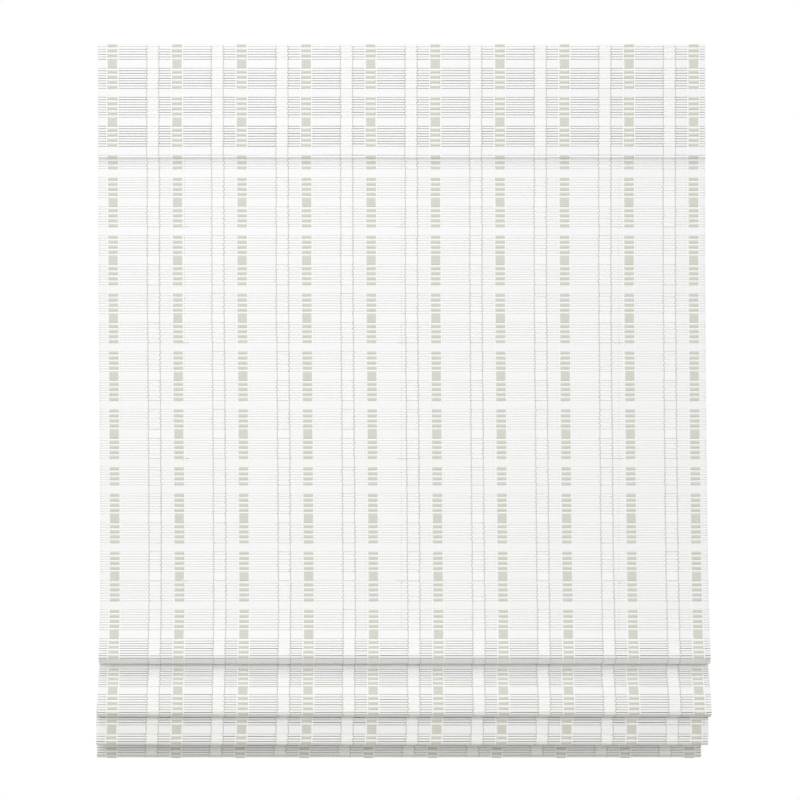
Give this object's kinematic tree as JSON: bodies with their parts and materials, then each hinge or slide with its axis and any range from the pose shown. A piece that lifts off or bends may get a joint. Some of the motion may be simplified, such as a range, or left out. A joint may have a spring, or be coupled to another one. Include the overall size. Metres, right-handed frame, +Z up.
{
  "type": "woven roman blind",
  "caption": "Woven reed roman blind with valance, spring lift headrail, lift cords and rings, raised into folds at its bottom.",
  "frame": {"origin": "centre of the four bracket screw holes, on the ceiling face of the brackets", "axes": "+Z up, front of the blind towards -Y, width along X"},
  "size_m": [0.85, 0.1001, 1.0019],
  "materials": {
    "painted_reed": "white painted reeds and slats",
    "accent_yarn": "beige cotton yarn, woven",
    "white_yarn": "white cotton yarn, woven",
    "painted_steel": "white powder coat",
    "zinc_steel": "zinc plated",
    "nylon": "moulded, satin",
    "tape": "hook and loop tape",
    "cord": "braided polyester"
  },
  "bodies": {
    "headrail": {"headrail": "painted_steel", "end_cap_left": "nylon", "end_cap_right": "nylon", "bracket_left": "zinc_steel", "bracket_right": "zinc_steel", "cam_rivets": "zinc_steel", "rail_hook_tape": "tape", "shade_loop_tape": "tape", "valance_loop_tape": "tape", "valance_hook_tape": "tape", "valance_mat": "painted_reed", "valance_accent_yarn": "accent_yarn", "valance_white_yarn": "white_yarn", "shade_mat": "painted_reed", "shade_accent_yarn": "accent_yarn", "shade_white_yarn": "white_yarn", "cradle_1": "nylon", "cradle_2": "nylon", "cradle_3": "nylon", "motor_base": "nylon", "motor_cover": "nylon", "motor_spring": "zinc_steel", "grommet_1": "nylon", "grommet_2": "nylon", "grommet_3": "nylon", "lift_cord_1": "cord", "lift_cord_2": "cord", "lift_cord_3": "cord"},
    "lift_shaft": {"lift_shaft": "zinc_steel", "spool_1": "nylon", "spool_2": "nylon", "spool_3": "nylon", "output_drum": "nylon"},
    "storage_drum": {"storage_drum": "nylon"},
    "cam_left": {"cam_left": "nylon"},
    "cam_right": {"cam_right": "nylon"},
    "row_1": {"ring_row_1": "nylon"},
    "row_2": {"ring_row_2": "nylon"},
    "row_3": {"ring_row_3": "nylon"},
    "row_4": {"ring_row_4": "nylon"},
    "row_5": {"ring_row_5": "nylon"},
    "row_6": {"ring_row_6": "nylon"},
    "bottom_rail": {"bottom_bar": "zinc_steel", "bar_cap_left": "nylon", "bar_cap_right": "nylon", "ring_row_7": "nylon", "cord_stop_1": "nylon", "cord_stop_2": "nylon", "cord_stop_3": "nylon"}
  },
  "joints": [
    {"name": "raise", "type": "slide", "parent": "headrail", "child": "row_4", "axis": [0, 0.023, 0.9997], "range_m": [0, 0.64], "deforming": ["shade_mat", "shade_accent_yarn", "shade_white_yarn", "lift_cord_1", "lift_cord_2", "lift_cord_3", "motor_spring"]},
    {"name": "lower", "type": "slide", "parent": "row_6", "child": "bottom_rail", "axis": [0, 0, 1], "range_m": [-0.142, 0]},
    {"name": "fold_row_5", "type": "slide", "parent": "row_4", "child": "row_5", "axis": [0, 0, 1], "range_m": [-0.0736, 0]},
    {"name": "fold_row_6", "type": "slide", "parent": "row_5", "child": "row_6", "axis": [0, 0, 1], "range_m": [-0.0952, 0]},
    {"name": "gather_row_1", "type": "slide", "parent": "headrail", "child": "row_1", "axis": [0, 0.023, 0.9997], "range_m": [0, 0.182]},
    {"name": "gather_row_2", "type": "slide", "parent": "headrail", "child": "row_2", "axis": [0, 0.023, 0.9997], "range_m": [0, 0.3322]},
    {"name": "gather_row_3", "type": "slide", "parent": "headrail", "child": "row_3", "axis": [0, 0.023, 0.9997], "range_m": [0, 0.4824]},
    {"name": "shaft_turn", "type": "hinge", "parent": "headrail", "child": "lift_shaft", "pos_m": [0, -0.01018, -0.022], "axis": [-1, 0, 0], "range_deg": [0, 3680]},
    {"name": "storage_turn", "type": "hinge", "parent": "headrail", "child": "storage_drum", "pos_m": [0.15, 0.01018, -0.022], "axis": [-1, 0, 0], "range_deg": [0, 3440]},
    {"name": "cam_left_turn", "type": "hinge", "parent": "headrail", "child": "cam_left", "pos_m": [-0.34333, 0.009, -0.005], "axis": [0, 0, 1], "range_deg": [0, 90]},
    {"name": "cam_right_turn", "type": "hinge", "parent": "headrail", "child": "cam_right", "pos_m": [0.31667, 0.009, -0.005], "axis": [0, 0, 1], "range_deg": [0, 90]}
  ],
  "couplings": [
    {"joint": "fold_row_5", "follows": "lower", "ratio": 0.5163},
    {"joint": "fold_row_6", "follows": "lower", "ratio": 0.6678},
    {"joint": "gather_row_1", "follows": "raise", "ratio": 0.2837},
    {"joint": "gather_row_2", "follows": "raise", "ratio": 0.5184},
    {"joint": "gather_row_3", "follows": "raise", "ratio": 0.753},
    {"joint": "shaft_turn", "follows": "raise", "rad_per_m": 100},
    {"joint": "storage_turn", "follows": "raise", "rad_per_m": 93.28}
  ]
}
